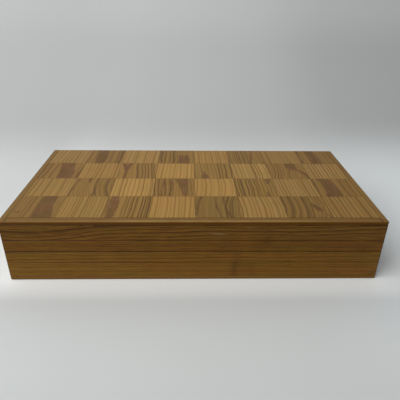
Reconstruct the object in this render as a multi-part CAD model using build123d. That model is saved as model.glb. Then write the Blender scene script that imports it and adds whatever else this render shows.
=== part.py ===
from build123d import *
import math
import os

# Folding wooden mancala board with an 8 x 8 chequered games field outside.
#
# Closed it is a flat case: two equal wooden halves, one on the other, hinged
# along the long back edge.  Each half is a lamination of a thick base board,
# a thinner pit board and a chequered panel of veneer squares on plywood with
# mitred lipping strips on three sides.  The hollows (six bowls and one store
# in each half) are cut through the pit board into the base board, on the
# faces that meet when the case is closed.  There is no lipping strip on the
# hinge side, so the two half fields join into one field when it is unfolded.
#
# Millimetres.  +Z up, X along the hinge, +Y towards the hinge (back).
# Origin: middle of the closed case's bottom face.
# The upper half is the lower half turned 180 degrees about the Y direction
# through the middle of the case, so every function below makes a lower piece.

# ---------------------------------------------------------------- dimensions
SQUARE = 44.45            # one chequer square, 1 3/4 in
COLS, ROWS = 8, 4         # squares per half
TILE_GAP = 0.06           # hairline joint between veneer squares
VENEER_T = 0.8
PLY_T = 2.8
BASE_T = 17.0             # base board (outer course)
PIT_T = 12.7              # pit board (inner course), 1/2 in
RIM_GAP = 0.4             # gap between the two rims when closed

SIDE_STRIP_W = 6.5        # lipping strip width at the two ends
FRONT_STRIP_W = 8.0       # lipping strip width along the front
STRIP_ROUND = 0.9         # rounding of the strips' outer edge
STRIP_BEVEL = 0.45        # bevel of the strips' inner edge, next to the field

CORNER_R = 1.5            # rounding of the case's upright front corners
ARRIS = 0.5               # bevel along the boards' edges
PANEL_BEVEL = 0.7         # deeper bevels where a panel meets its board

BOWL_RIM_R = 21.0         # bowl radius at the rim
BOWL_DEPTH = 17.0
BOWL_PITCH = 46.0         # the row is centred, so bowls face bowls when closed
BOWL_COUNT = 6
ROW_Y = 0.0
STORE_W = 36.0            # store: round-ended trough
STORE_L = 146.0
STORE_DEPTH = 17.0
STORE_X = 159.0
STORE_Y = 0.0
STORE_FLOOR_R = 8.0
RIM_R = 1.0               # rounding of every hollow's rim

HINGE_X = 120.0           # hinge centres at plus and minus this
AXIS_OUT = 0.5            # hinge axis stands this far behind the back face
KNUCKLE_R = 2.6
KNUCKLES = 5
LOWER_KNUCKLES = (0, 2, 4)
UPPER_KNUCKLES = (1, 3)
KNUCKLE_GAP = 0.2
HINGE_L = 38.0
LEAF_T = 1.2
LEAF_W = 11.0             # axis to the leaf's far edge
LEAF_CLEAR = 2.85         # notch depth from the axis, for the other leaf's knuckles
WEB_END = 1.0             # a knuckle's web stops this far short of the axis
PIN_R = 1.25
PIN_CLEAR = 0.05
PIN_BEVEL = 0.3
COVE_R = 2.9              # groove in the wood for the knuckles
POCKET_CLEAR = 0.05       # leaf pocket deeper than the leaf by this
POCKET_SIDE = 0.2         # pocket's spare length at each end of the leaf
POCKET_FRONT = 0.1        # and beyond its far edge

SCREW_SPACING = 13.0
SCREW_HEAD_R = 2.4
SCREW_HEAD_LAND = 0.05    # thin upright land round the head
SCREW_SHANK_R = 1.25
SCREW_LEN = 9.5
SCREW_POINT_L = 2.4
SCREW_CLEAR = 0.05
SCREW_HOLE_BELOW = 0.3    # hole deeper from the rim than the screw's length
SINK_CLEAR = 1.4 * SCREW_CLEAR   # radial gap that leaves SCREW_CLEAR square to a 45 degree cone
SCREW_SLOT_W = 0.7
SCREW_SLOT_D = 0.5
SLOT_ANGLES = {           # slots stop at any angle; degrees, in order of rising X
    -HINGE_X: (14, -33, 61),
    HINGE_X: (5, 82, -20),
}

MAGNET_R = 4.0            # closing magnets, let into the rims
MAGNET_T = 3.0
MAGNET_X = 166.0
MAGNET_Y = -83.0
MAGNET_CLEAR = 0.05
MAGNET_BEVEL = 0.25

STONE_A = 6.5             # pebble half width
STONE_B = 3.5             # pebble half thickness
STONE_NOSE_R = 2.3        # radius round the pebble's rim

OVERCUT = 1.0             # cutters run this far past the faces they break
STORE_OVERCUT = 5.0

# Pebbles at rest, one list per bowl from -X to +X, then the store.
# Columns: x, y from the hollow's centre, z from the rim, then the direction
# (x, y, z) of the pebble's short axis.
BOWL_STONES = [
    [
        (-2.15, 7.19, -11.56, 0.112, -0.437, 0.892), (7.80, -1.10, -11.22, -0.374, -0.060, 0.926),
        (-11.26, -1.55, -8.83, 0.589, -0.070, 0.805), (-1.63, -8.17, -8.89, 0.170, -0.250, 0.953),
    ],
    [
        (1.95, 4.51, -11.58, 0.311, -0.277, 0.909), (5.67, -7.28, -10.51, -0.392, 0.465, 0.794),
        (-9.40, 7.54, -8.41, 0.585, -0.481, 0.653), (-6.64, -4.49, -11.23, 0.434, 0.317, 0.843),
    ],
    [
        (0.24, 4.04, -12.79, -0.030, -0.231, 0.972), (-6.29, -2.77, -8.74, -0.906, -0.375, 0.195),
        (-1.44, 10.54, -6.14, -0.206, 0.309, 0.928), (3.97, -5.96, -8.40, -0.558, -0.830, 0.018),
    ],
    [
        (2.35, -1.46, -13.01, -0.111, 0.077, 0.991), (-6.40, -3.17, -9.01, -0.498, -0.063, 0.865),
        (-4.87, 8.71, -10.12, 0.294, -0.529, 0.796), (11.93, 5.16, -7.34, -0.621, -0.225, 0.751),
    ],
    [
        (10.11, 1.30, -9.92, -0.659, -0.039, 0.751), (-8.39, -2.92, -10.72, 0.572, 0.176, 0.801),
        (2.17, -4.80, -10.02, -0.869, -0.025, 0.495), (-1.39, 7.63, -10.87, 0.326, -0.258, 0.909),
    ],
    [
        (4.33, 6.56, -11.36, -0.304, -0.415, 0.858), (1.83, -5.96, -12.04, -0.180, 0.330, 0.927),
        (-11.69, -3.38, -8.04, 0.800, 0.185, 0.571), (-4.35, 3.17, -9.20, -0.963, -0.092, 0.253),
    ],
]
STORE_STONES = [
    (-3.01, 49.43, -13.25, -0.000, 0.000, 1.000), (9.76, -25.12, -12.16, -0.021, -0.545, 0.838),
    (11.63, 32.76, -12.36, -0.487, 0.004, 0.874), (-9.30, -8.02, -12.93, -0.006, 0.286, 0.958),
    (-7.04, 0.04, -7.15, 0.639, -0.041, 0.768), (8.10, -55.52, -13.24, 0.054, 0.030, 0.998),
    (-3.63, -62.09, -13.19, -0.104, -0.058, 0.993), (11.94, -38.01, -12.13, -0.555, -0.000, 0.832),
    (-11.68, 4.93, -12.32, 0.498, -0.039, 0.867), (2.07, 3.98, -11.99, -0.565, -0.182, 0.805),
    (-8.63, 32.51, -13.25, -0.000, 0.000, 1.000), (10.59, 17.10, -10.93, -0.256, 0.812, 0.524),
    (8.10, -8.45, -11.07, 0.548, 0.609, 0.574), (-10.28, -19.15, -10.29, 0.389, 0.912, 0.129),
    (0.75, -33.13, -10.99, 0.408, -0.732, 0.546), (-5.74, 63.68, -13.04, 0.121, -0.196, 0.973),
    (-2.60, 17.79, -13.25, 0.000, 0.000, 1.000), (11.10, 46.24, -12.73, -0.364, -0.002, 0.931),
    (1.23, -16.05, -13.25, -0.029, -0.004, 1.000), (-9.61, -29.73, -13.17, 0.071, -0.119, 0.990),
    (-9.74, -49.37, -13.21, 0.102, -0.000, 0.995), (11.97, 6.65, -12.11, -0.562, 0.003, 0.827),
    (-3.03, -12.18, -6.30, 0.051, -0.086, 0.995), (3.17, 37.55, -11.38, -0.723, 0.186, 0.666),
]
STONE_COLOURS = ("blue", "green", "amber", "clear")

# ------------------------------------------------- derived levels and places
PANEL_T = VENEER_T + PLY_T
Z_BASE = PANEL_T + BASE_T                    # joint between the two boards
Z_RIM = Z_BASE + PIT_T                       # top of the lower half
MID_Z = (2 * Z_RIM + RIM_GAP) / 2            # middle of the case, hinge axis

FIELD_X = COLS * SQUARE / 2                  # field half width
CASE_X = FIELD_X + SIDE_STRIP_W              # case half width
Y_BACK = (ROWS * SQUARE + FRONT_STRIP_W) / 2
Y_FRONT = -Y_BACK
Y_FIELD = Y_FRONT + FRONT_STRIP_W            # front edge of the field

BOWL_R = (BOWL_RIM_R ** 2 + BOWL_DEPTH ** 2) / (2 * BOWL_DEPTH)
BOWL_Z = Z_RIM - BOWL_DEPTH + BOWL_R         # sphere centre height
BOWL_XS = [BOWL_PITCH * (i - (BOWL_COUNT - 1) / 2) for i in range(BOWL_COUNT)]
STORE_FLOOR_Z = Z_RIM - STORE_DEPTH

AXIS_Y = Y_BACK + AXIS_OUT
LEAF_BACK_Z = Z_RIM - LEAF_T                 # the leaf lies flush in the rim
KNUCKLE_L = (HINGE_L - KNUCKLE_GAP * (KNUCKLES - 1)) / KNUCKLES
SCREW_XS = [k * SCREW_SPACING for k in (-1, 0, 1)]   # from the hinge centre
SCREW_Y = AXIS_Y - (LEAF_W + LEAF_CLEAR) / 2

os.makedirs("parts", exist_ok=True)


# ------------------------------------------------------------------ helpers
def slab(x0, x1, y0, y1, z0, z1):
    centre = Pos((x0 + x1) / 2, (y0 + y1) / 2, (z0 + z1) / 2)
    return centre * Box(x1 - x0, y1 - y0, z1 - z0)


def axis_rod(x, radius, length):
    # cylinder lying on the hinge axis, centred on x
    return Pos(x, AXIS_Y, MID_Z) * Rot(0, 90, 0) * Cylinder(radius, length)


def edges_at(shape, z, tolerance=0.02):
    # edges that lie wholly at one level
    found = []
    for edge in shape.edges():
        box = edge.bounding_box()
        if abs(box.min.Z - z) < tolerance and abs(box.max.Z - z) < tolerance:
            found.append(edge)
    return found


def save(name, *pieces):
    solids = [solid for piece in pieces for solid in piece.solids()]
    shape = solids[0] if len(solids) == 1 else Compound(children=solids)
    shape.label = name
    export_step(shape, os.path.join("parts", name + ".step"))


def to_upper(shape):
    # half turn about the Y direction through the middle of the case
    return Pos(0, 0, MID_Z) * Rot(0, 180, 0) * Pos(0, 0, -MID_Z) * shape


def save_both(tail, *pieces):
    # lower-half pieces and their twins in the upper half
    save("lower_" + tail, *pieces)
    save("upper_" + tail, *[to_upper(piece) for piece in pieces])


# ------------------------------------------------------------- outer panel
def veneer_squares():
    # row 0 is next to the hinge, column 0 at -X
    light, dark = [], []
    inset = TILE_GAP / 2
    for row in range(ROWS):
        for col in range(COLS):
            x0 = -FIELD_X + col * SQUARE
            y1 = Y_BACK - row * SQUARE
            tile = slab(x0 + inset, x0 + SQUARE - inset,
                        y1 - SQUARE + inset, y1 - inset, 0.0, VENEER_T)
            (light if (row + col) % 2 == 1 else dark).append(tile)
    return light, dark


def panel_blank():
    # whole panel outline, from which the lipping strips are cut
    blank = slab(-CASE_X, CASE_X, Y_FRONT, Y_BACK, 0.0, PANEL_T)
    blank = fillet([edge for edge in blank.edges().filter_by(Axis.Z)
                    if edge.center().Y < 0], CORNER_R)
    blank = fillet([edge for edge in edges_at(blank, 0.0)
                    if edge.center().Y < Y_BACK - 0.01], STRIP_ROUND)
    return chamfer([edge for edge in edges_at(blank, PANEL_T)
                    if edge.center().Y < Y_BACK - 0.01], PANEL_BEVEL)


# the mitre lines run from the field's corners out past the case's corners
MITRE_X = FIELD_X + 2 * SIDE_STRIP_W
MITRE_Y = Y_FIELD - 2 * FRONT_STRIP_W


def cut_strip(blank, *outline):
    prism = extrude(Polygon(*outline, align=None), amount=PANEL_T + 2 * OVERCUT)
    return blank & (Pos(0, 0, -OVERCUT) * prism)


def front_strip(blank):
    strip = cut_strip(blank, (-MITRE_X, MITRE_Y), (MITRE_X, MITRE_Y),
                      (FIELD_X, Y_FIELD), (-FIELD_X, Y_FIELD))
    return chamfer([edge for edge in edges_at(strip, 0.0)
                    if abs(edge.center().Y - Y_FIELD) < 0.01], STRIP_BEVEL)


def side_strip(blank, side):
    # side is 1 for the strip at +X, -1 for its mirror image
    strip = cut_strip(blank, (FIELD_X, Y_FIELD), (MITRE_X, MITRE_Y),
                      (MITRE_X, Y_BACK + OVERCUT), (FIELD_X, Y_BACK + OVERCUT))
    strip = chamfer([edge for edge in edges_at(strip, 0.0)
                     if abs(edge.center().X - FIELD_X) < 0.01], STRIP_BEVEL)
    return strip if side > 0 else mirror(strip, about=Plane.YZ)


save_both("panel_ply", slab(-FIELD_X, FIELD_X, Y_FIELD, Y_BACK, VENEER_T, PANEL_T))

light_squares, dark_squares = veneer_squares()
save_both("light_squares", *light_squares)
save_both("dark_squares", *dark_squares)

lipping = panel_blank()
save_both("edge_strip_front", front_strip(lipping))
for name, side in (("left", -1), ("right", 1)):
    save("lower_edge_strip_" + name, side_strip(lipping, side))
    # the half turn swaps the ends
    save("upper_edge_strip_" + name, to_upper(side_strip(lipping, -side)))


# ------------------------------------------------------------------ boards
def board(z0, z1):
    blank = slab(-CASE_X, CASE_X, Y_FRONT, Y_BACK, z0, z1)
    blank = fillet([edge for edge in blank.edges().filter_by(Axis.Z)
                    if edge.center().Y < 0], CORNER_R)
    return chamfer([edge for edge in blank.edges().filter_by(Axis.Z)
                    if abs(edge.center().Y - Y_BACK) < 0.01], ARRIS)


def outline_edges(shape, z, reach=1.0):
    # edges at one level within reach of the board's outline
    found = []
    for edge in edges_at(shape, z):
        centre = edge.center()
        if (abs(abs(centre.X) - CASE_X) < reach or abs(centre.Y - Y_FRONT) < reach
                or abs(centre.Y - Y_BACK) < reach):
            found.append(edge)
    return found


def bowls_cutter():
    cutter = None
    for x in BOWL_XS:
        ball = Pos(x, ROW_Y, BOWL_Z) * Sphere(BOWL_R)
        cutter = ball if cutter is None else cutter + ball
    return cutter


def store_cutter():
    outline = Pos(STORE_X, STORE_Y, STORE_FLOOR_Z) * Rot(0, 0, 90) * \
        SlotOverall(STORE_L, STORE_W)
    trough = extrude(outline, amount=STORE_DEPTH + STORE_OVERCUT)
    return fillet(edges_at(trough, STORE_FLOOR_Z), STORE_FLOOR_R)


def base_board(bowls, store):
    base = board(PANEL_T, Z_BASE)
    base = chamfer(outline_edges(base, Z_BASE), ARRIS)
    base = chamfer(outline_edges(base, PANEL_T), PANEL_BEVEL)
    return base - bowls - store


def round_rims(pit, margin=8):
    # the hollows' rims are the top edges more than a margin inside the outline
    rims = [edge for edge in edges_at(pit, Z_RIM)
            if abs(edge.center().X) < CASE_X - margin
            and Y_FRONT + margin < edge.center().Y < Y_BACK - margin]
    return fillet(rims, RIM_R)


def pit_board(bowls, store):
    pit = board(Z_BASE, Z_RIM)
    pit = chamfer(outline_edges(pit, Z_RIM), ARRIS)
    pit = chamfer(outline_edges(pit, Z_BASE), ARRIS)
    pit = pit - bowls - store
    pit = round_rims(pit)

    # leaf pockets, knuckle grooves and screw holes for the hinges
    pocket_half = HINGE_L / 2 + POCKET_SIDE
    hole_depth = SCREW_LEN + SCREW_HOLE_BELOW
    for hinge_x in (-HINGE_X, HINGE_X):
        pit -= slab(hinge_x - pocket_half, hinge_x + pocket_half,
                    AXIS_Y - LEAF_W - POCKET_FRONT, Y_BACK + OVERCUT,
                    LEAF_BACK_Z - POCKET_CLEAR, Z_RIM + OVERCUT)
        pit -= axis_rod(hinge_x, COVE_R, 2 * pocket_half)
        for x in SCREW_XS:
            pit -= Pos(hinge_x + x, SCREW_Y, Z_RIM - hole_depth / 2) * \
                Cylinder(SCREW_SHANK_R + SCREW_CLEAR, hole_depth)

    # blind seats for the closing magnets
    seat_depth = MAGNET_T + 2 * MAGNET_CLEAR
    for x in (-MAGNET_X, MAGNET_X):
        pit -= Pos(x, MAGNET_Y, Z_RIM - seat_depth / 2 + OVERCUT / 2) * \
            Cylinder(MAGNET_R + MAGNET_CLEAR, seat_depth + OVERCUT)
    return pit


bowl_cutter = bowls_cutter()
trough_cutter = store_cutter()
save_both("base_board", base_board(bowl_cutter, trough_cutter))
save_both("pit_board", pit_board(bowl_cutter, trough_cutter))


# ----------------------------------------------------------- closing magnets
def magnet(x):
    disc = Cylinder(MAGNET_R, MAGNET_T)
    disc = chamfer(disc.edges().filter_by(GeomType.CIRCLE), MAGNET_BEVEL)
    return Pos(x, MAGNET_Y, Z_RIM - MAGNET_CLEAR - MAGNET_T / 2) * disc


save_both("closing_magnets", magnet(-MAGNET_X), magnet(MAGNET_X))


# ------------------------------------------------------------------ hinges
def leaf(own_knuckles):
    # leaf lying in the lower rim, hinge centred on x = 0
    plate = slab(-HINGE_L / 2, HINGE_L / 2, AXIS_Y - LEAF_W, AXIS_Y - LEAF_CLEAR,
                 LEAF_BACK_Z, Z_RIM)
    for i in own_knuckles:
        x = -HINGE_L / 2 + KNUCKLE_L / 2 + i * (KNUCKLE_L + KNUCKLE_GAP)
        plate += slab(x - KNUCKLE_L / 2, x + KNUCKLE_L / 2,
                      AXIS_Y - LEAF_CLEAR, AXIS_Y - WEB_END, LEAF_BACK_Z, Z_RIM)
        plate += axis_rod(x, KNUCKLE_R, KNUCKLE_L)
    plate -= axis_rod(0, PIN_R + PIN_CLEAR, HINGE_L + 2 * OVERCUT)

    # 45 degree countersinks
    sink_r = SCREW_HEAD_R + SCREW_CLEAR + SCREW_HEAD_LAND + SINK_CLEAR
    for x in SCREW_XS:
        place = Pos(x, SCREW_Y, Z_RIM - LEAF_T / 2)
        hole = place * Cone(sink_r - LEAF_T, sink_r, LEAF_T)
        hole += place * Cylinder(SCREW_SHANK_R + SCREW_CLEAR, LEAF_T + 0.2)
        plate -= hole
    return plate


def pin():
    rod = Rot(0, 90, 0) * Cylinder(PIN_R, HINGE_L)
    rod = chamfer(rod.edges().filter_by(GeomType.CIRCLE), PIN_BEVEL)
    return Pos(0, AXIS_Y, MID_Z) * rod


def screw():
    # countersunk slotted wood screw, head up, head face just below the leaf's
    top = Z_RIM - SCREW_CLEAR
    land_z = top - SCREW_HEAD_LAND
    profile = [
        (0, top),
        (SCREW_HEAD_R, top),
        (SCREW_HEAD_R, land_z),
        (SCREW_SHANK_R, land_z - (SCREW_HEAD_R - SCREW_SHANK_R)),
        (SCREW_SHANK_R, top - SCREW_LEN + SCREW_POINT_L),
        (0, top - SCREW_LEN),
    ]
    body = revolve(Plane.XZ * Polygon(*profile, align=None), Axis.Z)
    slot_half = SCREW_HEAD_R + OVERCUT
    body -= slab(-slot_half, slot_half, -SCREW_SLOT_W / 2, SCREW_SLOT_W / 2,
                 top - SCREW_SLOT_D, top + OVERCUT)
    return body


hinge_pieces = {
    "lower_leaf": leaf(LOWER_KNUCKLES),
    "upper_leaf": to_upper(leaf(UPPER_KNUCKLES)),
    "pin": pin(),
}
for name, hinge_x in (("left", -HINGE_X), ("right", HINGE_X)):
    for tail, piece in hinge_pieces.items():
        save(name + "_hinge_" + tail, Pos(hinge_x, 0, 0) * piece)

one_screw = screw()
save_both("hinge_screws", *[
    Pos(hinge_x + x, SCREW_Y, 0) * Rot(0, 0, angle) * one_screw
    for hinge_x, angles in SLOT_ANGLES.items()
    for x, angle in zip(SCREW_XS, angles)])


# ------------------------------------------------------------ playing stones
def make_pebble():
    # the section is a four-centre oval: a small nose arc on each side and a
    # flat arc over the top and the bottom
    nose_x = STONE_A - STONE_NOSE_R              # nose arc's centre
    flat_r = (nose_x ** 2 + STONE_B ** 2 - STONE_NOSE_R ** 2) / (2 * (STONE_B - STONE_NOSE_R))
    drop = flat_r - STONE_B                      # top arc's centre below the middle
    centre_gap = math.hypot(nose_x, drop)
    join_x = nose_x * flat_r / centre_gap        # where the arcs meet
    join_z = drop * flat_r / centre_gap - drop
    via_x = join_x / 2                           # a point on the flat arc
    via_z = math.sqrt(flat_r ** 2 - via_x ** 2) - drop
    outline = [
        ThreePointArc((0, STONE_B), (via_x, via_z), (join_x, join_z)),
        ThreePointArc((join_x, join_z), (STONE_A, 0), (join_x, -join_z)),
        ThreePointArc((join_x, -join_z), (via_x, -via_z), (0, -STONE_B)),
        Line((0, -STONE_B), (0, STONE_B)),
    ]
    return revolve(Plane.XZ * make_face(outline), Axis.Z)


def place_stone(stone, hollow_x, hollow_y, record):
    x, y, z, *direction = record
    short_axis = Vector(*direction).normalized()
    side = Vector(1, 0, 0)
    x_dir = (side - short_axis * side.dot(short_axis)).normalized()
    plane = Plane(origin=(hollow_x + x, hollow_y + y, Z_RIM + z),
                  x_dir=x_dir, z_dir=short_axis)
    return plane.location * stone


# colours take turns; each bowl starts one colour on from the last
pebble = make_pebble()
groups = [[] for colour in STONE_COLOURS]
for bowl, x in enumerate(BOWL_XS):
    for i, record in enumerate(BOWL_STONES[bowl]):
        groups[(i + bowl) % len(groups)].append(place_stone(pebble, x, ROW_Y, record))
for i, record in enumerate(STORE_STONES):
    groups[i % len(groups)].append(place_stone(pebble, STORE_X, STORE_Y, record))
for colour, stones in zip(STONE_COLOURS, groups):
    save("stones_" + colour, *stones)
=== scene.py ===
import math

import bpy
from mathutils import Matrix, Vector


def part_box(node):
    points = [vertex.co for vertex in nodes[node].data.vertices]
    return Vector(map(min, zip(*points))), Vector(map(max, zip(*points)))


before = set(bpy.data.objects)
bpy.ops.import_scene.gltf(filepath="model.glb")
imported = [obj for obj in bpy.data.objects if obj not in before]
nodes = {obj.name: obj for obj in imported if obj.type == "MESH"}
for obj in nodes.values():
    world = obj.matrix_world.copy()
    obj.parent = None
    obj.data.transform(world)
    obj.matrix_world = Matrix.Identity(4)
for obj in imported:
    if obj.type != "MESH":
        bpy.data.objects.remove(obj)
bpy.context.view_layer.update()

# ------------------------------------------------------------------ frame
SQ = 0.04445                       # one chequer square
FIELD_X = 4 * SQ                   # half width of the field
low_all, high_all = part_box("upper_panel_ply")
Y_BACK = high_all.y
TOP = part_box("upper_light_squares")[1].z
low_b, high_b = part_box("upper_base_board")
BOX_X, BOX_Y = high_b.x, high_b.y
FIELD_FRONT = -low_all.y           # distance of the field's front edge


# ---------------------------------------------------------- node shorthand
class Graph:
    """Writes shader expressions as nodes. Values are sockets or numbers."""

    def __init__(self, name):
        self.mat = bpy.data.materials.new(name)
        self.mat.use_nodes = True
        self.t = self.mat.node_tree
        self.t.nodes.clear()
        self.count = 0

    def node(self, kind, **props):
        n = self.t.nodes.new(kind)
        for k, v in props.items():
            setattr(n, k, v)
        self.count += 1
        n.location = (180 * (self.count % 40), -220 * (self.count // 40))
        return n

    def put(self, socket, value):
        if isinstance(value, bpy.types.NodeSocket):
            self.t.links.new(value, socket)
        elif value is not None:
            if isinstance(value, (tuple, list)):
                v = list(value)
                if len(v) == 3 and len(socket.default_value) == 4:
                    v.append(1.0)
                socket.default_value = v
            else:
                socket.default_value = value

    def m(self, op, a, b=None, c=None, clamp=False):
        n = self.node("ShaderNodeMath", operation=op, use_clamp=clamp)
        self.put(n.inputs[0], a)
        if b is not None:
            self.put(n.inputs[1], b)
        if c is not None:
            self.put(n.inputs[2], c)
        return n.outputs[0]

    def add(self, a, b): return self.m("ADD", a, b)
    def sub(self, a, b): return self.m("SUBTRACT", a, b)
    def mul(self, a, b): return self.m("MULTIPLY", a, b)
    def div(self, a, b): return self.m("DIVIDE", a, b)
    def mad(self, a, b, c): return self.m("MULTIPLY_ADD", a, b, c)
    def floor(self, a): return self.m("FLOOR", a)
    def fract(self, a): return self.m("FRACT", a)
    def abs(self, a): return self.m("ABSOLUTE", a)
    def mx(self, a, b): return self.m("MAXIMUM", a, b)
    def mn(self, a, b): return self.m("MINIMUM", a, b)

    def step(self, x, lo, hi, a=0.0, b=1.0):
        """smooth step from a at lo to b at hi"""
        n = self.node("ShaderNodeMapRange", interpolation_type="SMOOTHSTEP")
        self.put(n.inputs["Value"], x)
        self.put(n.inputs["From Min"], lo)
        self.put(n.inputs["From Max"], hi)
        self.put(n.inputs["To Min"], a)
        self.put(n.inputs["To Max"], b)
        return n.outputs[0]

    def lin(self, x, lo, hi, a=0.0, b=1.0, clamp=True):
        n = self.node("ShaderNodeMapRange", clamp=clamp)
        self.put(n.inputs["Value"], x)
        self.put(n.inputs["From Min"], lo)
        self.put(n.inputs["From Max"], hi)
        self.put(n.inputs["To Min"], a)
        self.put(n.inputs["To Max"], b)
        return n.outputs[0]

    def mixf(self, f, a, b):
        n = self.node("ShaderNodeMix", data_type="FLOAT")
        self.put(n.inputs[0], f)
        self.put(n.inputs[2], a)
        self.put(n.inputs[3], b)
        return n.outputs[0]

    def mixc(self, f, a, b, blend="MIX"):
        n = self.node("ShaderNodeMix", data_type="RGBA", blend_type=blend)
        self.put(n.inputs[0], f)
        self.put(n.inputs[6], a)
        self.put(n.inputs[7], b)
        return n.outputs[2]

    def xyz(self, v):
        n = self.node("ShaderNodeSeparateXYZ")
        self.put(n.inputs[0], v)
        return n.outputs

    def vec(self, x, y, z):
        n = self.node("ShaderNodeCombineXYZ")
        for i, a in enumerate((x, y, z)):
            self.put(n.inputs[i], a)
        return n.outputs[0]

    def coords(self):
        return self.node("ShaderNodeTexCoord").outputs["Object"]

    def noise(self, v, scale=1.0, detail=2.0, rough=0.5, dims="3D", w=None,
              distortion=0.0):
        n = self.node("ShaderNodeTexNoise", noise_dimensions=dims)
        if dims != "1D":
            self.put(n.inputs["Vector"], v)
        if dims in ("1D", "4D"):
            self.put(n.inputs["W"], v if dims == "1D" else w)
        n.inputs["Scale"].default_value = scale
        n.inputs["Detail"].default_value = detail
        n.inputs["Roughness"].default_value = rough
        n.inputs["Distortion"].default_value = distortion
        return n.outputs["Fac"]

    def rand(self, v, dims="3D"):
        n = self.node("ShaderNodeTexWhiteNoise", noise_dimensions=dims)
        if dims == "1D":
            self.put(n.inputs["W"], v)
            return n.outputs["Value"]
        self.put(n.inputs["Vector"], v)
        return n.outputs["Value"]

    def rand3(self, v):
        n = self.node("ShaderNodeTexWhiteNoise", noise_dimensions="3D")
        self.put(n.inputs["Vector"], v)
        s = self.node("ShaderNodeSeparateColor")
        self.put(s.inputs[0], n.outputs["Color"])
        return s.outputs

    def table(self, index, rows):
        """looks up three numbers per row; index is 0..31 in steps of one"""
        ramp = self.node("ShaderNodeValToRGB")
        cr = ramp.color_ramp
        cr.interpolation = "CONSTANT"
        while len(cr.elements) > 1:
            cr.elements.remove(cr.elements[-1])
        cr.elements[0].position = 0.0
        for k in range(32):
            e = cr.elements[0] if k == 0 else cr.elements.new(k / 32.0)
            a = rows[k]
            e.color = ((a[0] + 1) / 3, (a[1] + 1) / 3, (a[2] + 1) / 3, 1)
        self.put(ramp.inputs[0], self.mad(index, 1 / 32.0, 0.5 / 32.0))
        s = self.node("ShaderNodeSeparateColor")
        self.put(s.inputs[0], ramp.outputs["Color"])
        return [self.mad(o, 3.0, -1.0) for o in s.outputs[:3]]

    def finish(self, color, rough, bump=None, bump_dist=0.0002, strength=1.0,
               gain=None, **inputs):
        if gain is not None:
            color = self.mixc(1.0 - gain, color, (0.0, 0.0, 0.0))
        bsdf = self.node("ShaderNodeBsdfPrincipled")
        out = self.node("ShaderNodeOutputMaterial")
        self.put(bsdf.inputs["Base Color"], color)
        self.put(bsdf.inputs["Roughness"], rough)
        for k, v in inputs.items():
            self.put(bsdf.inputs[k.replace("_", " ")], v)
        if bump is not None:
            b = self.node("ShaderNodeBump")
            b.inputs["Strength"].default_value = strength
            b.inputs["Distance"].default_value = bump_dist
            self.put(b.inputs["Height"], bump)
            self.put(bsdf.inputs["Normal"], b.outputs[0])
        self.put(out.inputs["Surface"], bsdf.outputs[0])
        return self.mat


WOOD_GAIN = 0.90        # overall depth of tone of every stained wood


def ring_profile(g, s, sharp=0.10, start=0.35):
    """one growth ring per unit of s: pale, darkening, then a sudden edge"""
    f = g.fract(s)
    rise = g.step(f, start, 1.0 - sharp)
    fall = g.step(f, 1.0 - sharp, 1.0, 1.0, 0.0)
    return g.mul(g.m("POWER", rise, 1.6), fall)


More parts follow.
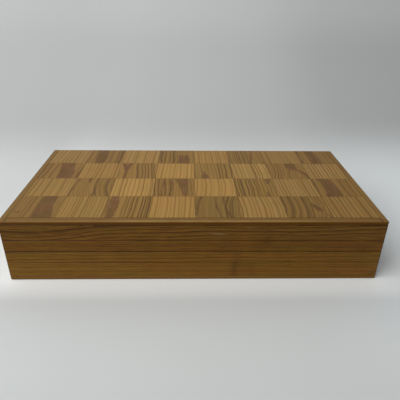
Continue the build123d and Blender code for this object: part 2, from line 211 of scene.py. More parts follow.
# ------------------------------------------------------- the chequer field
# Figure of the sixteen dark squares, by row from the hinge and column from
# the left.  A patch is (centre at top, centre at bottom, bow, half width at
# top, half width at bottom, start, end, strength): a broad brown figure cut
# along a growth layer.  "lines" is (from, to, rings per square, slope, bow,
# strength): where the growth lines are strong.  "tone" is (brightness, red
# shift, fine contrast).
NONE = (0, 0, 0, 0, 0, 0, 0, 0)
FIGURE = {
    (0, 1): dict(p=[(.34, .36, .02, .155, .135, 0, 1, .95),
                    (.93, .90, .0, .03, .03, 0, 1, .45)],
                 l=(.62, 1.0, 8, .03, .0, 0.70), t=(1.068, .3, .3)),
    (0, 3): dict(p=[(.71, .72, .0, .14, .16, .40, 1, 1.0),
                    (.06, .06, .0, .05, .05, 0, 1, .35),
                    (.71, .71, .0, .035, .01, .30, .66, -.9)],
                 l=(.0, .52, 9, .0, .0, 0.68), t=(1.170, .0, .4)),
    (0, 5): dict(p=[(.70, .60, .0, .030, .034, 0, 1, 1.0),
                    (.98, .98, .0, .03, .03, 0, 1, .5)],
                 l=(.0, .55, 12, -.05, .0, 0.95), t=(1.162, -.3, .4)),
    (0, 7): dict(p=[(.41, .47, .02, .13, .17, 0, 1, .85),
                    (.08, .08, .0, .03, .03, 0, 1, .75)],
                 l=(.7, 1.0, 7, .0, .0, 0.60), t=(1.081, .4, .3)),
    (1, 0): dict(p=[(.54, .66, .02, .18, .19, 0, 1, 1.0),
                    (.99, .98, .0, .025, .05, 0.2, 1, .7)],
                 l=(.05, .34, 6, .03, .0, 0.60), t=(1.120, .5, .3)),
    (1, 2): dict(p=[(.165, .185, .0, .145, .035, 0, .54, 1.2),
                    (.185, .20, .0, .030, .042, .42, 1, 1.1),
                    (.17, .17, .0, .048, .0, -.02, .24, -1.0)],
                 l=(.46, 1.0, 11, -.08, .0, 0.70), t=(1.249, .2, .5)),
    (1, 4): dict(p=[(.20, .28, .03, .022, .10, .52, 1, .95)],
                 l=(.60, 1.0, 10, -.02, .0, 0.80), t=(1.252, -.4, .3)),
    (1, 6): dict(p=[(.66, .68, .0, .145, .12, 0, .42, .9),
                    (.70, .98, .10, .055, .045, .36, 1, .95),
                    (.60, .49, -.03, .022, .014, .34, 1, .55)],
                 l=(.02, .40, 9, .08, .06, 0.85), t=(1.109, .2, .3)),
    (2, 1): dict(p=[(.10, .02, -.02, .035, .022, 0, 1, .8),
                    (.37, .37, .0, .05, .0, 0, .30, .7),
                    (.57, .56, .03, .022, .022, 0, 1, .6)],
                 l=(.52, .96, 7, -.10, -.06, 0.54), t=(1.147, .1, .3)),
    (2, 3): dict(p=[(.66, .77, .02, .17, .035, 0, 1, .95),
                    (.24, .20, .0, .024, .02, 0, 1, .7),
                    (.42, .42, .0, .02, .02, 0, 1, .5)],
                 l=(.0, .46, 8, -.04, .0, 1.00), t=(1.201, .2, .3)),
    (2, 5): dict(p=[(.89, .85, .0, .085, .03, 0, .30, .95),
                    (.79, .77, .0, .02, .06, .74, 1, .9)],
                 l=(.0, .62, 12, -.02, .0, 0.94), t=(1.256, -.4, .6)),
    (2, 7): dict(p=[(.32, .35, .04, .155, .19, 0, 1, 1.0),
                    (.03, .02, .0, .03, .03, 0, 1, .5)],
                 l=(.66, 1.0, 6, .0, .0, 0.50), t=(1.050, .4, .3)),
    (3, 0): dict(p=[(.66, .72, -.04, .15, .21, 0, 1, .95),
                    (.115, .115, .0, .05, .05, .735, .765, .9)],
                 l=(.30, .52, 7, .03, .0, 0.70), t=(1.039, .2, .3)),
    (3, 2): dict(p=[(.15, .155, .0, .085, .130, -.02, .58, 1.0),
                    (.155, .135, .0, .130, .075, .42, 1.02, 1.0)],
                 l=(.40, 1.0, 11, .03, .0, 1.00), t=(1.229, .0, .6)),
    (3, 4): dict(p=[(.16, .02, -.03, .03, .022, 0, .9, .85),
                    (.48, .58, -.04, .022, .02, 0, 1, .75),
                    (.68, .80, -.05, .02, .02, 0, 1, .75)],
                 l=(.60, 1.0, 7, .10, -.05, 0.76), t=(1.011, -.5, .3)),
    (3, 6): dict(p=[(.68, .80, .0, .02, .075, .34, .68, .8),
                    (.74, .98, .0, .02, .02, .55, 1, .55)],
                 l=(.0, .66, 7, .06, .05, 0.78), t=(0.999, .1, .4)),
}


def figure_rows():
    rows = [[(0, 0, 0)] * 32 for _ in range(12)]
    for (j, i), f in FIGURE.items():
        k = j * 8 + i
        ps = (f["p"] + [NONE, NONE, NONE])[:3]
        for n, p in enumerate(ps):
            rows[3 * n][k] = (p[0], p[1], p[2])
            rows[3 * n + 1][k] = (p[3], p[4], p[5])
            rows[3 * n + 2][k] = (p[6], p[7], 0)
        a = f["l"]
        rows[9][k] = (a[0], a[1], a[2] / 16.0)
        rows[10][k] = (a[3], a[4], a[5])
        rows[11][k] = f["t"]
    return rows


ROWS = figure_rows()


def tile_coords(g, upper):
    """square number 0..31 and place inside the square, for one face"""
    x, y, z = g.xyz(g.coords())
    if upper:
        u = g.mad(x, 1 / SQ, FIELD_X / SQ)
    else:
        u = g.mad(x, -1 / SQ, FIELD_X / SQ)
    v = g.mad(y, -1 / SQ, Y_BACK / SQ)
    i = g.mn(g.mx(g.floor(u), 0.0), 7.0)
    j = g.mn(g.mx(g.floor(v), 0.0), 3.0)
    lu, lv = g.sub(u, i), g.sub(v, j)
    if not upper:
        j = g.m("MODULO", g.add(j, 2.0), 4.0)
    k = g.mad(j, 8.0, i)
    return k, i, j, lu, lv, u, v, (x, y, z)


def veneer_common(g, k, u, v, pos):
    """fine fibre, slow tone and varnish marks shared by all squares"""
    x, y, z = pos
    seed = g.mul(k, 7.31)
    fibre = g.noise(g.vec(g.mul(x, 2600), g.mul(y, 60), seed), 1.0, 3.0, .6)
    streak = g.noise(g.vec(g.mul(u, 7.0), g.mul(v, 0.5), seed), 1.0, 3.0, .55)
    slow = g.noise(g.vec(g.mul(x, 9), g.mul(y, 9), 3.3), 1.0, 2.0, .5)
    wear = g.noise(g.vec(g.mul(x, 55), g.mul(y, 55), 8.1), 1.0, 5.0, .65)
    return fibre, streak, slow, wear


def square_edge(g, lu, lv):
    """0 inside a square, 1 on its joint line"""
    du = g.sub(0.5, g.abs(g.sub(lu, 0.5)))
    dv = g.sub(0.5, g.abs(g.sub(lv, 0.5)))
    return g.step(g.mn(du, dv), 0.0, 0.018, 1.0, 0.0)


# the sixteen light squares: (brightness, strength of the growth lines, lines
# per square over sixteen)
LIGHT = {
    (0, 0): (0.92, 0.44, .56), (0, 2): (1.04, 0.49, .60), (0, 4): (1.05, 0.56, .58),
    (0, 6): (0.87, 0.32, .62), (1, 1): (1.00, 0.45, .70), (1, 3): (1.23, 0.39, .66),
    (1, 5): (1.13, 0.60, .64), (1, 7): (0.98, 0.62, .68), (2, 0): (0.95, 0.51, .58),
    (2, 2): (1.25, 0.54, .58), (2, 4): (1.15, 0.44, .60), (2, 6): (0.98, 0.59, .80),
    (3, 1): (0.95, 0.49, .80), (3, 3): (1.10, 0.42, .72), (3, 5): (1.00, 0.53, .62),
    (3, 7): (0.84, 0.57, .60),
}


def light_veneer(name, upper):
    g = Graph(name)
    k, i, j, lu, lv, u, v, pos = tile_coords(g, upper)
    r1, r2, r3 = g.rand3(g.vec(g.mul(k, 1.37), 4.2, 0.7))[:3]
    q1, q2, q3 = g.rand3(g.vec(g.mul(k, 2.11), 1.9, 5.3))[:3]
    fibre, streak, slow, wear = veneer_common(g, k, u, v, pos)
    dv = g.sub(lv, 0.5)
    # growth lines: nearly straight, a little slanted or bowed per square
    slope = g.mad(q1, 0.10, -0.05)
    bow = g.mul(g.m("POWER", q2, 3.0), 0.16)
    wob = g.noise(g.vec(g.mul(u, 2.2), g.mul(v, 1.1), g.mul(k, 3.7)), 1.0,
                  2.0, .5)
    s = g.add(lu, g.add(g.mul(slope, dv), g.mul(bow, g.mul(dv, dv))))
    s = g.add(s, g.mad(wob, 0.07, -0.035))
    tone_row, amount, freq = g.table(k, [LIGHT.get(divmod(n, 8), (1, .6, .65))
                                         for n in range(32)])
    ss = g.add(g.mul(s, g.mul(freq, 16.0)), g.mul(r2, 9.0))
    jit = g.noise(g.add(g.mul(ss, 0.55), g.mul(k, 4.7)), 1.0, 1.0, .5, "1D")
    ss = g.add(ss, g.mad(jit, 1.3, -0.65))
    line = ring_profile(g, ss, .17, .22)
    which = g.rand(g.vec(g.floor(ss), k, 1.0))
    line = g.mul(line, g.mad(which, 0.65, 0.45))
    line = g.mn(g.mul(line, g.mul(amount, 1.35)), 1.0)
    pale = (0.430, 0.255, 0.077)
    gold = (0.436, 0.244, 0.062)
    brown = (0.158, 0.070, 0.010)
    base = g.mixc(q3, pale, gold)
    drift = g.noise(g.vec(g.mul(u, 2.3), g.mul(v, 1.7), g.mad(k, 2.9, 3.0)),
                    1.0, 2.0, .5)
    base = g.mixc(g.step(drift, .50, .72, 0.0, .50), base,
                  (0.475, 0.232, 0.066))
    base = g.mixc(g.step(drift, .28, .48, .50, 0.0), base,
                  (0.372, 0.252, 0.062))
    base = g.mixc(g.step(streak, .35, .75, 0.0, .35), base,
                  (0.31, 0.165, 0.036))
    base = g.mixc(line, base, brown)
    base = g.mixc(g.step(fibre, .45, .85, 0.0, .22), base,
                  (0.25, 0.130, 0.032))
    tone = g.add(tone_row, g.mad(slow, 0.10, -0.05))
    n = g.node("ShaderNodeHueSaturation")
    g.put(n.inputs["Color"], base)
    g.put(n.inputs["Value"], tone)
    col = n.outputs[0]
    col = g.mixc(g.mul(square_edge(g, lu, lv), .40), col, (0.10, 0.048, 0.014))
    rough = g.add(g.mad(wear, 0.16, 0.36), g.mul(line, 0.05))
    height = g.add(g.mul(line, -0.5), g.mul(fibre, 0.35))
    return g.finish(col, rough, height, 0.00006, 0.6,
                    gain=WOOD_GAIN, Specular_IOR_Level=0.125)


def patch(g, lu, lv, k, rows, wob, soft=0.018):
    cA, cB, bow = g.table(k, rows[0])
    hA, hB, v0 = g.table(k, rows[1])
    v1, power, _ = g.table(k, rows[2])
    span = g.mx(g.sub(v1, v0), 0.001)
    t = g.m("DIVIDE", g.sub(lv, v0), span, clamp=True)
    arch = g.mul(g.mul(t, g.sub(1.0, t)), 4.0)
    centre = g.add(g.mixf(t, cA, cB), g.mul(bow, arch))
    half = g.mixf(t, hA, hB)
    d = g.sub(g.abs(g.sub(g.add(lu, wob), centre)), half)
    inside = g.step(d, -soft, soft, 1.0, 0.0)
    inside = g.mul(inside, g.step(half, 0.0, 0.012))
    wv = g.mul(g.step(lv, g.sub(v0, 0.03), g.add(v0, 0.03)),
               g.step(lv, g.sub(v1, 0.03), g.add(v1, 0.03), 1.0, 0.0))
    open0 = g.step(v0, -0.01, 0.02, 1.0, 0.0)
    open1 = g.step(v1, 0.98, 1.01)
    top = g.mx(g.step(lv, g.sub(v0, 0.03), g.add(v0, 0.03)), open0)
    end = g.mx(g.step(lv, g.sub(v1, 0.03), g.add(v1, 0.03), 1.0, 0.0), open1)
    return g.mul(g.mul(inside, g.mul(top, end)), power)


def dark_veneer(name, upper):
    g = Graph(name)
    k, i, j, lu, lv, u, v, pos = tile_coords(g, upper)
    r1, r2, r3 = g.rand3(g.vec(g.mul(k, 3.17), 2.2, 9.7))[:3]
    fibre, streak, slow, wear = veneer_common(g, k, u, v, pos)
    dv = g.sub(lv, 0.5)
    wob = g.noise(g.vec(g.mul(u, 2.6), g.mul(v, 2.2), g.mul(k, 1.9)), 1.0,
                  2.0, .45)
    wobble = g.mad(wob, 0.07, -0.035)
    nick = g.noise(g.vec(g.mul(u, 1.2), g.mul(v, 11.0), g.mul(k, 2.7)), 1.0,
                   2.0, .6)
    ragged = g.add(wobble, g.mad(nick, 0.055, -0.0275))
    fine = g.noise(g.vec(g.mul(u, 40.0), g.mul(v, 2.5), k), 1.0, 2.0, .5)

    la, lb, lf = g.table(k, ROWS[9])
    lslope, lbow, lpow = g.table(k, ROWS[10])
    bright, red, contrast = g.table(k, ROWS[11])

    s = g.add(lu, g.add(g.mul(lslope, dv),
                        g.mul(g.mul(lbow, 4.0), g.mul(dv, dv))))
    s = g.add(s, wobble)
    ss = g.add(g.mul(s, g.mul(lf, 16.0)), g.mul(r2, 5.0))
    jit = g.noise(g.add(g.mul(ss, 0.6), g.mul(k, 2.3)), 1.0, 1.0, .5, "1D")
    ss = g.add(ss, g.mad(jit, 1.1, -0.55))
    strong = ring_profile(g, ss, .16, .36)
    which = g.rand(g.vec(g.floor(ss), k, 4.0))
    strong = g.mul(strong, g.mad(which, 0.6, 0.6))
    zone = g.mul(g.step(s, g.sub(la, .03), g.add(la, .03)),
                 g.step(s, g.sub(lb, .03), g.add(lb, .03), 1.0, 0.0))
    strong = g.mul(strong, g.mul(zone, lpow))

    # quiet growth lines over the whole square
    qs = g.add(g.mul(s, g.mad(r1, 5.0, 9.0)), g.mul(r3, 7.0))
    qj = g.noise(g.add(g.mul(qs, 0.5), g.mul(k, 1.3)), 1.0, 1.0, .5, "1D")
    qs = g.add(qs, g.mad(qj, 1.6, -0.8))
    qw = g.rand(g.vec(g.floor(qs), k, 9.0))
    quiet = g.mul(ring_profile(g, qs, .2, .25), g.mad(contrast, 0.7, 0.42))
    quiet = g.mul(quiet, g.mad(qw, 0.8, 0.35))

    p0 = patch(g, lu, lv, k, ROWS[0:3], ragged)
    p1 = patch(g, lu, lv, k, ROWS[3:6], ragged)
    p2 = patch(g, lu, lv, k, ROWS[6:9], ragged)
    fig = g.add(g.mx(p0, p1), g.mn(p2, 0.0))
    fig = g.mx(fig, p2)
    fig = g.m("MAXIMUM", fig, 0.0)
    cloud = g.noise(g.vec(g.mul(u, 6.0), g.mul(v, 2.2), g.mul(k, 5.1)), 1.0,
                    3.0, .6)
    # the figure is outlined where it cuts the lines, and cloudy inside
    rim = g.mul(g.step(fig, .05, .45), g.step(fig, .55, .98, 1.0, 0.0))
    rim = g.mul(rim, g.step(cloud, .38, .60, 0.0, .60))
    fig = g.mul(fig, g.mad(fine, 0.34, g.mad(cloud, 0.75, 0.44)))

    olive = (0.292, 0.170, 0.039)
    warm = (0.318, 0.168, 0.042)
    base = g.mixc(g.lin(red, -.6, .6), olive, warm)
    base = g.mixc(g.step(streak, .35, .75, 0.0, .40), base,
                  (0.205, 0.112, 0.026))
    base = g.mixc(g.mul(quiet, 0.85), base, (0.120, 0.060, 0.015))
    base = g.mixc(strong, base, (0.085, 0.040, 0.010))
    drift = g.noise(g.vec(g.mul(u, 3.1), g.mul(v, 3.7), g.mad(k, 1.7, 6.0)),
                    1.0, 2.0, .5)
    umber = g.mixc(g.step(drift, .35, .65), (0.178, 0.080, 0.034),
                   (0.138, 0.071, 0.019))
    base = g.mixc(g.m("MULTIPLY", fig, 0.84, clamp=True), base, umber)
    base = g.mixc(rim, base, (0.095, 0.044, 0.010))
    base = g.mixc(g.step(fibre, .45, .85, 0.0, .22), base, (0.15, 0.080, 0.024))
    tone = g.add(bright, g.mad(slow, 0.12, -0.06))
    n = g.node("ShaderNodeHueSaturation")
    g.put(n.inputs["Color"], base)
    g.put(n.inputs["Value"], tone)
    col = n.outputs[0]
    col = g.mixc(g.mul(square_edge(g, lu, lv), .35), col, (0.10, 0.045, 0.016))
    rough = g.add(g.mad(wear, 0.16, 0.37), g.mul(fig, 0.05))
    height = g.add(g.mul(strong, -0.5), g.mul(fibre, 0.35))
    return g.finish(col, rough, height, 0.00006, 0.6,
                    gain=WOOD_GAIN, Specular_IOR_Level=0.125)


# ----------------------------------------------------------- solid boards
def board_wood(name, pith, pitch, early, late, seed, contrast=0.75,
               sway=0.0035, detail=0.0006, tilt=(0.0, 0.0), hump=None,
               along="x", stain=None, rough0=0.34, dirt=0.25, joints=(),
               strip=0.0, fibre_amount=0.25, mottle=0.42, right_shade=.45, joint=.75,
               shade=None, marks=()):
    """Flat-sawn board: growth layers are wavy cylinders round a pith line,
    so the long faces show long lines and the ends show arcs."""
    g = Graph(name)
    x, y, z = g.xyz(g.coords())
    px, py0, pz0 = x, y, z
    if along == "y":
        x, y = y, x
    # slow sway of the layers along the board, then small ripples
    a = g.noise(g.vec(g.mul(x, 4.2), g.mul(y, 6.0), seed), 1.0, 1.0, .5)
    b = g.noise(g.vec(g.mul(x, 17.0), g.mul(y, 30.0), g.mad(z, 60.0, seed)),
                1.0, 2.0, .5)
    c = g.noise(g.vec(g.mul(x, 60.0), g.mul(y, 260.0), g.mul(z, 500.0)),
                1.0, 2.0, .5)
    py = g.mad(x, tilt[0], pith[0])
    pz = g.mad(x, tilt[1], pith[1])
    dy, dz = g.sub(y, py), g.sub(z, pz)
    r = g.m("SQRT", g.add(g.mul(dy, dy), g.mul(dz, dz)))
    r = g.add(r, g.mad(a, 2 * sway, -sway))
    r = g.add(r, g.mad(b, 2 * detail, -detail))
    r = g.add(r, g.mad(c, 0.0003, -0.00015))
    if hump:
        for hx, hw, hh in hump:
            e = g.m("POWER", math.e, g.mul(-1.0, g.m("POWER", g.abs(
                g.div(g.sub(x, hx), hw)), 2.0)))
            r = g.add(r, g.mul(e, hh))
    s = g.add(g.div(r, pitch), seed)
    jit = g.noise(g.mul(s, 0.47), 1.0, 1.0, .5, "1D")
    s = g.add(s, g.mad(jit, 1.6, -0.8))
    ring = ring_profile(g, s, .16, .18)
    which = g.rand(g.floor(s), "1D")
    ring = g.mul(ring, g.mad(which, 0.65, 0.35))
    fibre = g.noise(g.vec(g.mul(x, 70.0), g.mul(y, 2500.0),
                          g.mul(z, 2500.0)), 1.0, 3.0, .6)
    slow = g.noise(g.vec(g.mul(x, 7.0), g.mul(y, 12.0), g.mad(z, 45.0, seed)),
                   1.0, 3.0, .55)
    wear = g.noise(g.vec(g.mul(x, 40.0), g.mul(y, 40.0), g.mul(z, 120.0)),
                   1.0, 5.0, .65)
    col = g.mixc(g.step(slow, .3, .7, 0.0, .45), early,
                 tuple(0.72 * e for e in early))
    if along == "x":
        # painted shade: the long boards grow darker towards the right
        col = g.mixc(g.step(x, -.06, .20, 0.0, right_shade), col,
                     tuple(0.70 * e for e in early))
    drift = g.noise(g.vec(g.mul(x, 16.0), g.mul(y, 22.0),
                          g.mad(z, 70.0, seed)), 1.0, 2.0, .5)
    er, eg, eb = early
    col = g.mixc(g.step(drift, .50, .70, 0.0, .70), col,
                 (0.94 * er, 0.78 * eg, 0.85 * eb))
    col = g.mixc(g.step(drift, .30, .48, .70, 0.0), col,
                 (0.86 * er, 0.97 * eg, 0.75 * eb))
    col = g.mixc(g.mul(ring, contrast), col, late)
    streaks = g.noise(g.vec(g.mul(x, 52.0), g.mul(y, 700.0),
                            g.mad(z, 820.0, seed)), 1.0, 4.0, .62)
    col = g.mixc(g.step(streaks, .46, .72, 0.0, mottle), col, late)
    col = g.mixc(g.step(streaks, .30, .44, mottle, 0.0), col,
                 tuple(1.30 * e for e in early))
    col = g.mixc(g.step(fibre, .45, .85, 0.0, fibre_amount), col, late)
    for sx, sw, amount in stain or ():
        e = g.m("POWER", math.e, g.mul(-1.0, g.m("POWER", g.abs(
            g.div(g.sub(g.add(x, g.mad(wear, .006, -.003)), sx), sw)), 2.0)))
        col = g.mixc(g.mul(e, amount), col, late)
    # pale scratches and bruises on the front
    for mx, mz, wx, wz, slant, amount in marks:
        ex = g.div(g.sub(px, mx), wx)
        ez = g.div(g.sub(g.sub(pz0, mz), g.mul(g.sub(px, mx), slant)), wz)
        e = g.m("POWER", math.e, g.mul(-1.0, g.add(g.mul(ex, ex),
                                                  g.mul(ez, ez))))
        e = g.mul(e, g.step(g.noise(g.vec(g.mul(px, 420.0), 0.0,
                                          g.mul(pz0, 1500.0)), 1.0, 2.0, .5),
                            .38, .58, .25, 1.0))
        e = g.mul(e, g.step(py0, -.085, -.080, 1.0, 0.0))
        col = g.mixc(g.mul(e, amount), col, (0.34, 0.21, 0.105))
    # darkened, slightly dirty arrises
    geo = g.node("ShaderNodeNewGeometry")
    edge = g.step(geo.outputs["Pointiness"], .52, .60, 0.0, dirt)
    col = g.mixc(edge, col, tuple(0.8 * e for e in late))
    # old dirt and varnish in the grooves between the layers, and painted shade along
    # these seams
    grime_and_shade = tuple(0.35 * e for e in late)
    normal = g.node("ShaderNodeTexCoord").outputs["Normal"]
    upright = g.step(g.abs(g.xyz(normal)[2]), .80, .95, 1.0, 0.0)
    outside = g.mx(g.step(g.abs(px), BOX_X - .0026, BOX_X - .0020),
                   g.step(g.abs(py0), BOX_Y - .0026, BOX_Y - .0020))
    for zj, reach, amount in joints:
        near = g.step(g.abs(g.sub(pz0, zj)), .45 * reach, reach, amount, 0.0)
        patchy = g.noise(g.vec(g.mul(px, 24.0), g.mul(py0, 24.0), zj * 900),
                         1.0, 2.0, .5)
        near = g.mul(near, g.step(patchy, .30, .65, .45, 1.0))
        col = g.mixc(g.mul(g.mul(near, outside), upright), col, grime_and_shade)
    # painted shade on the rounded upright corners, and painted contact shade along the
    # foot, stronger towards the right
    corner_shade = g.mul(g.step(g.abs(px), BOX_X - .0013, BOX_X - .0004, 0.0, .55),
                   upright)
    foot_shade = g.mul(g.mul(g.step(pz0, .0005, .0016, .62, 0.0), upright),
                 g.step(px, -.15, .12, .45, 1.0))
    col = g.mixc(g.mx(corner_shade, foot_shade), col, grime_and_shade)
    if strip:
        # joint line against the field, and painted shade on the upright faces and the
        # outer arris
        gap = g.mn(g.abs(g.sub(g.abs(px), FIELD_X)),
                   g.abs(g.add(py0, FIELD_FRONT)))
        line = g.step(gap, .00035, .00075, joint, 0.0)
        col = g.mixc(line, col, grime_and_shade)
        # painted highlight along the outer arris in the middle of the front
        arris_highlight = g.mul(g.step(g.abs(g.add(py0, BOX_Y - .0018)), .0006, .0022,
                           1.0, 0.0), g.step(g.abs(g.sub(px, .01)), .05, .15, .52, .0))
        arris_highlight = g.mul(arris_highlight, g.step(g.noise(g.vec(g.mul(px, 30.0), 0.0, 4.0), 1.0,
                                        3.0, .6), .30, .62, .2, 1.0))
        col = g.mixc(g.mul(arris_highlight, strip), col, (0.46, 0.29, 0.10))
        # painted shade: the upright faces take the darker shade colours, so the top
        # reads as lit
        side = g.step(g.abs(g.xyz(normal)[2]), .35, .85, strip, 0.0)
        shade = g.mixc(ring, *shade)
        col = g.mixc(side, col, shade)
        # painted shade on the rounded outer arris at each end
        rim = g.step(g.abs(px), BOX_X - .0012, BOX_X - .0003, 0.0, .60)
        col = g.mixc(g.mul(rim, strip), col, grime_and_shade)
    rough = g.add(g.mad(wear, 0.18, rough0 - 0.06), g.mul(ring, 0.06))
    height = g.add(g.mul(ring, -0.6), g.mul(fibre, 0.4))
    return g.finish(col, rough, height, 0.00008, 0.7,
                    gain=WOOD_GAIN, Specular_IOR_Level=0.11)


def plywood(name):
    g = Graph(name)
    x, y, z = g.xyz(g.coords())
    # three plies; the middle one runs across
    zz = g.mn(z, g.sub(TOP, z))
    layer = g.lin(zz, 0.0008, 0.0036, 0.0, 3.0)
    mid = g.mul(g.step(layer, .97, 1.03), g.step(layer, 1.97, 2.03, 1.0, 0.0))
    ga = g.noise(g.vec(g.mul(x, 40), g.mul(y, 700), g.mul(z, 900)), 1.0, 3, .6)
    gb = g.noise(g.vec(g.mul(x, 900), g.mul(y, 40), g.mul(z, 900)), 1.0, 3, .6)
    grain = g.mixf(mid, ga, gb)
    col = g.mixc(mid, (0.42, 0.27, 0.125), (0.27, 0.155, 0.070))
    col = g.mixc(g.step(grain, .35, .8, 0.0, .5), col, (0.22, 0.12, 0.05))
    glue = g.step(g.abs(g.sub(g.fract(g.add(layer, .5)), .5)), .0, .06, .7, 0)
    col = g.mixc(glue, col, (0.08, 0.04, 0.02))
    rough = g.mad(grain, 0.2, 0.55)
    return g.finish(col, rough, grain, 0.0001, 0.6)


def brass(name):
    g = Graph(name)
    x, y, z = g.xyz(g.coords())
    brush = g.noise(g.vec(g.mul(x, 90), g.mul(y, 5200), g.mul(z, 5200)), 1.0,
                    4, .65)
    tarn = g.noise(g.vec(g.mul(x, 160), g.mul(y, 160), g.mul(z, 160)), 1.0,
                   5, .6)
    col = g.mixc(g.step(tarn, .42, .72), (0.78, 0.56, 0.25),
                 (0.42, 0.26, 0.10))
    col = g.mixc(g.step(brush, .5, .8, 0.0, .25), col, (0.92, 0.74, 0.40))
    geo = g.node("ShaderNodeNewGeometry")
    edge = g.step(geo.outputs["Pointiness"], .52, .62, 0.0, .6)
    col = g.mixc(edge, col, (0.95, 0.78, 0.45))
    rough = g.add(g.mad(tarn, 0.25, 0.16), g.mul(brush, 0.10))
    return g.finish(col, rough, brush, 0.00003, 0.5, Metallic=1.0)


def nickel(name):
    g = Graph(name)
    x, y, z = g.xyz(g.coords())
    turn = g.noise(g.vec(g.mul(x, 900), g.mul(y, 900), g.mul(z, 300)), 1.0,
                   4, .6)
    spots = g.noise(g.vec(g.mul(x, 260), g.mul(y, 260), 2.0), 1.0, 4, .6)
    col = g.mixc(g.step(spots, .5, .75, 0.0, .5), (0.66, 0.65, 0.62),
                 (0.42, 0.40, 0.37))
    rough = g.add(g.mad(spots, 0.2, 0.12), g.mul(turn, 0.08))
    return g.finish(col, rough, turn, 0.00002, 0.4, Metallic=1.0)


def glass(name, tint, deep, seed):
    g = Graph(name)
    x, y, z = g.xyz(g.coords())
    swirl = g.noise(g.vec(g.mul(x, 130), g.mul(y, 130), g.mad(z, 190, seed)),
                    1.0, 3, .6, distortion=1.4)
    scuff = g.noise(g.vec(g.mul(x, 900), g.mul(y, 900), g.mul(z, 900)), 1.0,
                    3, .6)
    col = g.mixc(g.step(swirl, .35, .7), tint, deep)
    rough = g.add(g.mul(g.step(scuff, .55, .8), 0.10), 0.03)
    return g.finish(col, rough, swirl, 0.00012, 0.35,
                    Transmission_Weight=0.82, IOR=1.5,
                    Specular_IOR_Level=0.6)


def assign(node, mat):
    o = nodes[node]
    o.data.materials.clear()
    o.data.materials.append(mat)


PINE = (0.300, 0.150, 0.046)
PINE_LATE = (0.074, 0.029, 0.0050)

assign("upper_light_squares", light_veneer("veneer_light_top", True))
assign("upper_dark_squares", dark_veneer("veneer_dark_top", True))
assign("lower_light_squares", light_veneer("veneer_light_under", False))
assign("lower_dark_squares", dark_veneer("veneer_dark_under", False))

SEAM = 0.00060
wood = {
    "upper_base_board": board_wood(
        "wood_upper_base", (0.015, -0.020), 0.0018, (0.238, 0.109, 0.0135),
        PINE_LATE, 1.7, contrast=1.0, sway=0.0050, detail=0.0011,
        tilt=(0.0, 0.012), hump=[(-0.150, 0.060, 0.0030)], mottle=.66,
        marks=[(0.0215, TOP - .0132, .0070, .0010, -.10, .75),
               (0.0535, TOP - .0062, .0040, .0006, .05, .40),
               (-0.0280, TOP - .0105, .0070, .0005, .02, .30)],
        joints=[(TOP - .0036, .00085, .62), (TOP - .0206, SEAM, .42)]),
    "upper_pit_board": board_wood(
        "wood_upper_pit", (-0.010, 0.130), 0.0025, (0.226, 0.100, 0.0120),
        (0.066, 0.025, 0.0045), 5.1, contrast=0.72, sway=0.0030,
        tilt=(0.0, -0.006), mottle=.62,
        joints=[(TOP - .0206, SEAM, .48), (TOP - .0333, SEAM, .12)]),
    "lower_pit_board": board_wood(
        "wood_lower_pit", (0.010, -0.075), 0.0022, (0.280, 0.131, 0.0170),
        PINE_LATE, 9.4, contrast=0.60, sway=0.0030, tilt=(0.0, 0.008),
        mottle=.52, right_shade=.75, stain=[(0.0410, 0.0040, .22)],
        joints=[(.0206, SEAM, .60), (.0333, SEAM, .45)]),
    "lower_base_board": board_wood(
        "wood_lower_base", (-0.005, 0.110), 0.0029, (0.284, 0.133, 0.0170),
        PINE_LATE, 13.9, contrast=0.50, sway=0.0034, tilt=(0.0, -0.004),
        mottle=.44, right_shade=.72, stain=[(0.0395, 0.0030, .42), (0.0560, 0.0024, .18),
                           (0.0440, 0.0110, .12)],
        joints=[(.0036, .00085, .45), (.0206, SEAM, .60)]),
}
for node, mat in wood.items():
    assign(node, mat)

for half in ("upper", "lower"):
    top = half == "upper"
    z0 = 0.067 if top else 0.0
    zj = TOP - .0036 if top else .0036
    # colours of the painted shade on the strips' upright faces: plain and on the
    # growth rings
    shade = (((0.130, 0.047, 0.0015), (0.075, 0.026, 0.0008)) if top else
             ((0.240, 0.112, 0.0160), (0.165, 0.077, 0.0120)))
    front = board_wood(
        half + "_strip_front_wood", (-0.0889, z0 + (-0.03 if top else 0.03)),
        0.0016, (0.300, 0.164, 0.042), (0.125, 0.060, 0.016), 3.3,
        contrast=0.55, sway=0.0018, rough0=0.40, strip=1.0, shade=shade,
        joints=[(zj, .00085, .55 if top else .3)])
    side = board_wood(
        half + "_strip_side_wood", (0.181, z0 + (-0.03 if top else 0.03)),
        0.0016, (0.345, 0.192, 0.052),
        (0.190, 0.098, 0.022), 6.1, joint=.15, shade=shade,
        contrast=0.55, sway=0.0018, along="y", rough0=0.40,
        strip=1.0,
        joints=[(zj, .00085, .55 if top else .3)])
    assign(half + "_edge_strip_front", front)
    assign(half + "_edge_strip_left", side)
    assign(half + "_edge_strip_right", side)

ply = plywood("plywood_edge")
assign("upper_panel_ply", ply)
assign("lower_panel_ply", ply)

brass_mat = brass("brass_brushed")
nickel_mat = nickel("nickel_plate")
for n in nodes:
    if "hinge" in n:
        assign(n, brass_mat)
    if "magnets" in n:
        assign(n, nickel_mat)

assign("stones_blue", glass("glass_blue", (0.10, 0.28, 0.80),
                            (0.03, 0.08, 0.50), 1.0))
assign("stones_green", glass("glass_green", (0.12, 0.62, 0.30),
                             (0.03, 0.32, 0.14), 2.0))
assign("stones_amber", glass("glass_amber", (0.95, 0.55, 0.10),
                             (0.72, 0.26, 0.02), 3.0))
assign("stones_clear", glass("glass_clear", (0.90, 0.95, 0.95),
                             (0.78, 0.87, 0.88), 4.0))


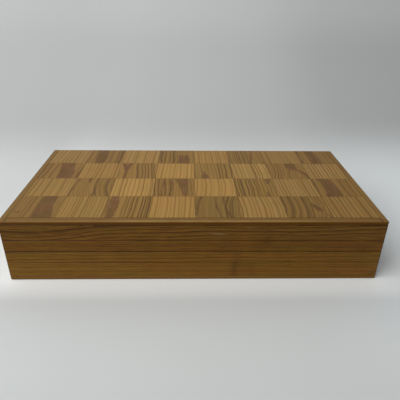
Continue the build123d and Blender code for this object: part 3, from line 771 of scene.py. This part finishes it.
# ------------------------------------------------------------ the studio
def paper(name, color):
    g = Graph(name)
    x, y, z = g.xyz(g.coords())
    n = g.noise(g.vec(g.mul(x, 3), g.mul(y, 3), g.mul(z, 3)), 1.0, 4, .55)
    col = g.mixc(g.step(n, .35, .7, 0.0, 1.0), color,
                 tuple(c * 0.965 for c in color))
    # paler, cooler painted light on the left of the floor, mostly in front
    col = g.mixc(g.mul(g.step(x, -.25, -.02, 1.0, 0.0),
                       g.step(y, -.12, .10, 1.0, 0.25)), col,
                 (color[0] * 1.015, color[1] * 1.04, color[2] * 1.065))
    # paler painted light on the floor in front of and to the right of the case
    col = g.mixc(g.mul(g.step(x, .08, .26), g.step(y, -.30, -.12)), col,
                 (0.855, 0.885, 0.893))
    # painted shade: the floor grows darker towards the camera
    col = g.mixc(g.step(y, -.38, -.11, 1.0, 0.0), col,
                 tuple(c * 0.80 for c in color))
    # painted shade in a band in front of the case, lighter and cooler on the right
    near = g.mixc(g.step(x, .08, .26), tuple(c * 0.905 for c in color),
                  (color[0] * 0.96, color[1] * 0.99, color[2] * 1.015))
    col = g.mixc(g.mul(g.lin(y, -.215, -.135, 0.0, 1.0),
                       g.step(y, -.105, -.075, 1.0, 0.0)), col, near)
    # painted light: a pale strip on the floor right in front of the case
    col = g.mixc(g.mul(g.lin(y, -.125, -.094, 0.0, 1.0),
                       g.step(g.abs(x), .18, .26, 1.0, 0.0)), col,
                 (0.985, 0.995, 0.985))
    # painted shade on the upright backdrop: darker than the floor, darkest on the
    # right, least in the middle
    wall = g.mixc(g.step(x, .05, .35), tuple(c * 0.75 for c in color),
                  tuple(c * 0.70 for c in color))
    middle = g.step(g.abs(x), .12, .34, 1.0, 0.0)
    wall = g.mixc(middle, wall, tuple(c * 0.79 for c in color))
    col = g.mixc(g.step(y, .14, .46, 0.0, 1.0), col, wall)
    col = g.mixc(g.mul(middle, g.step(y, .05, .33, 0.0, 0.5)), col, wall)
    # higher up the backdrop the painted shade is lighter, most of all at the sides
    high = g.mixc(middle, tuple(c * 0.82 for c in color),
                  tuple(c * 0.88 for c in color))
    col = g.mixc(g.step(z, .11, .23, 0.0, 1.0), col, high)
    g.finish(col, 0.80, Specular_IOR_Level=0.2)
    # from behind the sheet is not there, so the back can be looked at too
    tree = g.t
    out = next(n for n in tree.nodes if n.type == "OUTPUT_MATERIAL")
    front = next(n for n in tree.nodes if n.type == "BSDF_PRINCIPLED")
    clear = g.node("ShaderNodeBsdfTransparent")
    geo = g.node("ShaderNodeNewGeometry")
    mix = g.node("ShaderNodeMixShader")
    # nor does it black out a face that rests on it, seen from below
    path = g.node("ShaderNodeLightPath")
    touch = g.m("MULTIPLY", path.outputs["Is Diffuse Ray"],
                g.m("LESS_THAN", path.outputs["Ray Length"], 0.004))
    g.put(mix.inputs[0], g.mx(geo.outputs["Backfacing"], touch))
    g.put(mix.inputs[1], front.outputs[0])
    g.put(mix.inputs[2], clear.outputs[0])
    g.put(out.inputs["Surface"], mix.outputs[0])
    return g.mat


def sweep():
    """floor that curves up into a backdrop, as one smooth sheet"""
    y0, y1, r, top = -7.0, 0.34, 0.42, 2.6
    prof = [(y0, 0.0), (-2.6, 0.0), (-1.0, 0.0), (y1, 0.0)]
    for k in range(1, 17):
        a = math.radians(90 * k / 16)
        prof.append((y1 + r * math.sin(a), r - r * math.cos(a)))
    prof.append((y1 + r, top))
    verts, faces = [], []
    xs = [-7.0, -3.4, -1.7, 0.0, 1.7, 3.4, 7.0]
    for x in xs:
        for y, z in prof:
            # a hair below the case, so the two surfaces never coincide
            verts.append((x, y, z - 0.0002))
    m = len(prof)
    for a in range(len(xs) - 1):
        for b in range(m - 1):
            faces.append((a * m + b, (a + 1) * m + b, (a + 1) * m + b + 1,
                          a * m + b + 1))
    mesh = bpy.data.meshes.new("studio_sweep")
    mesh.from_pydata(verts, [], faces)
    for p in mesh.polygons:
        p.use_smooth = True
    o = bpy.data.objects.new("studio_sweep", mesh)
    bpy.context.scene.collection.objects.link(o)
    o.data.materials.append(paper("studio_paper", (0.745, 0.758, 0.752)))
    return o


sweep()


def area(name, loc, target, size, power, color=(1, 1, 1)):
    light = bpy.data.lights.new(name, "AREA")
    light.shape = "RECTANGLE"
    light.size, light.size_y = size
    light.energy = power
    light.color = color
    o = bpy.data.objects.new(name, light)
    o.location = loc
    d = Vector(target) - Vector(loc)
    o.rotation_euler = d.to_track_quat("-Z", "Y").to_euler()
    bpy.context.scene.collection.objects.link(o)
    return o


area("key", (-1.05, -0.50, 1.45), (0, 0.0, 0), (1.6, 1.6), 23.5,
     (1.0, 0.99, 0.97))
area("fill", (-0.9, -1.5, 1.1), (0, 0, 0.03), (1.5, 1.2), 6.7,
     (0.97, 0.99, 1.0))

world = bpy.data.worlds.new("studio_world")
world.use_nodes = True
bg = world.node_tree.nodes["Background"]
bg.inputs[0].default_value = (0.93, 0.97, 1.0, 1)
bg.inputs[1].default_value = 0.245
bpy.context.scene.world = world

# ---------------------------------------------------------------- camera
CAM = (-0.00582, -0.42499, 0.26519)
YAW, PITCH, ROLL = math.radians(1.680), math.radians(27.758), math.radians(0.851)
fwd = Vector((math.sin(YAW) * math.cos(PITCH), math.cos(YAW) * math.cos(PITCH),
              -math.sin(PITCH)))
right0 = Vector((math.cos(YAW), -math.sin(YAW), 0))
up0 = right0.cross(fwd)
right = right0 * math.cos(ROLL) + up0 * math.sin(ROLL)
up = -right0 * math.sin(ROLL) + up0 * math.cos(ROLL)
cam_data = bpy.data.cameras.new("camera")
cam_data.sensor_fit = "HORIZONTAL"
cam_data.sensor_width = 36.0
cam_data.lens = 412.38 * 36.0 / 400.0
cam_data.clip_start = 0.01
cam = bpy.data.objects.new("camera", cam_data)
m = Matrix((
    (right.x, up.x, -fwd.x, CAM[0]),
    (right.y, up.y, -fwd.y, CAM[1]),
    (right.z, up.z, -fwd.z, CAM[2]),
    (0, 0, 0, 1)))
cam.matrix_world = m
bpy.context.scene.collection.objects.link(cam)
bpy.context.scene.camera = cam
bpy.context.scene.view_settings.view_transform = "Standard"
